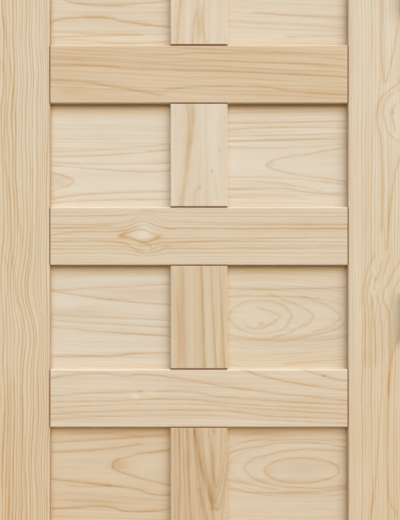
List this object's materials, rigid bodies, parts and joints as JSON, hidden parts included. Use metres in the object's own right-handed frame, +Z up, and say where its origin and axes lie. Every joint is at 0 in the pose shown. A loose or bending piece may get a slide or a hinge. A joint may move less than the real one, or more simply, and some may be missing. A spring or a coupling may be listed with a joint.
{
  "type": "panelled exterior door with frame",
  "caption": "Solid pine exterior door of flush stiles, rails and mullions with flat recessed panels, swinging on butt hinges in a rabbeted frame with a sloping sill and compression seals.",
  "frame": {"origin": "middle of the sill's underside, halfway through the depth of the jambs", "axes": "+X across the doorway from the hinge side to the lock side, +Y from outdoors to indoors, +Z up"},
  "size_m": [0.953, 0.163, 2.0755],
  "materials": {
    "pine": "matte",
    "beech": "matte",
    "oak": "satin",
    "composite_core": "matte",
    "mill_aluminium": "satin",
    "satin_steel": "satin",
    "seal_foam": "matte",
    "vinyl": "matte"
  },
  "bodies": {
    "frame": {"hinge_jamb": "pine", "lock_jamb": "pine", "head_jamb": "pine", "sill_base": "composite_core", "sill_deck": "mill_aluminium", "sill_cap": "oak", "sill_cap_screws": "satin_steel", "weatherstrip_hinge_side": "seal_foam", "weatherstrip_lock_side": "seal_foam", "weatherstrip_head": "seal_foam", "hinge_top_jamb_leaf": "satin_steel", "hinge_middle_jamb_leaf": "satin_steel", "hinge_bottom_jamb_leaf": "satin_steel", "hinge_top_pin": "satin_steel", "hinge_middle_pin": "satin_steel", "hinge_bottom_pin": "satin_steel", "hinge_jamb_screws": "satin_steel", "frame_screws": "satin_steel"},
    "leaf": {"hinge_stile": "pine", "lock_stile": "pine", "top_rail": "pine", "cross_rail_1": "pine", "cross_rail_2": "pine", "cross_rail_3": "pine", "cross_rail_4": "pine", "bottom_rail": "pine", "mullion_1": "pine", "mullion_2": "pine", "mullion_3": "pine", "mullion_4": "pine", "mullion_5": "pine", "panel_left_1": "pine", "panel_left_2": "pine", "panel_left_3": "pine", "panel_left_4": "pine", "panel_left_5": "pine", "panel_right_1": "pine", "panel_right_2": "pine", "panel_right_3": "pine", "panel_right_4": "pine", "panel_right_5": "pine", "rail_dowels": "beech", "hinge_top_door_leaf": "satin_steel", "hinge_middle_door_leaf": "satin_steel", "hinge_bottom_door_leaf": "satin_steel", "hinge_door_screws": "satin_steel", "door_bottom_sweep": "vinyl"}
  },
  "joints": [
    {"name": "door_swing", "type": "hinge", "parent": "frame", "child": "leaf", "pos_m": [-0.4555, 0.071, 0], "axis": [0, 0, 1], "range_deg": [0, 180]}
  ]
}
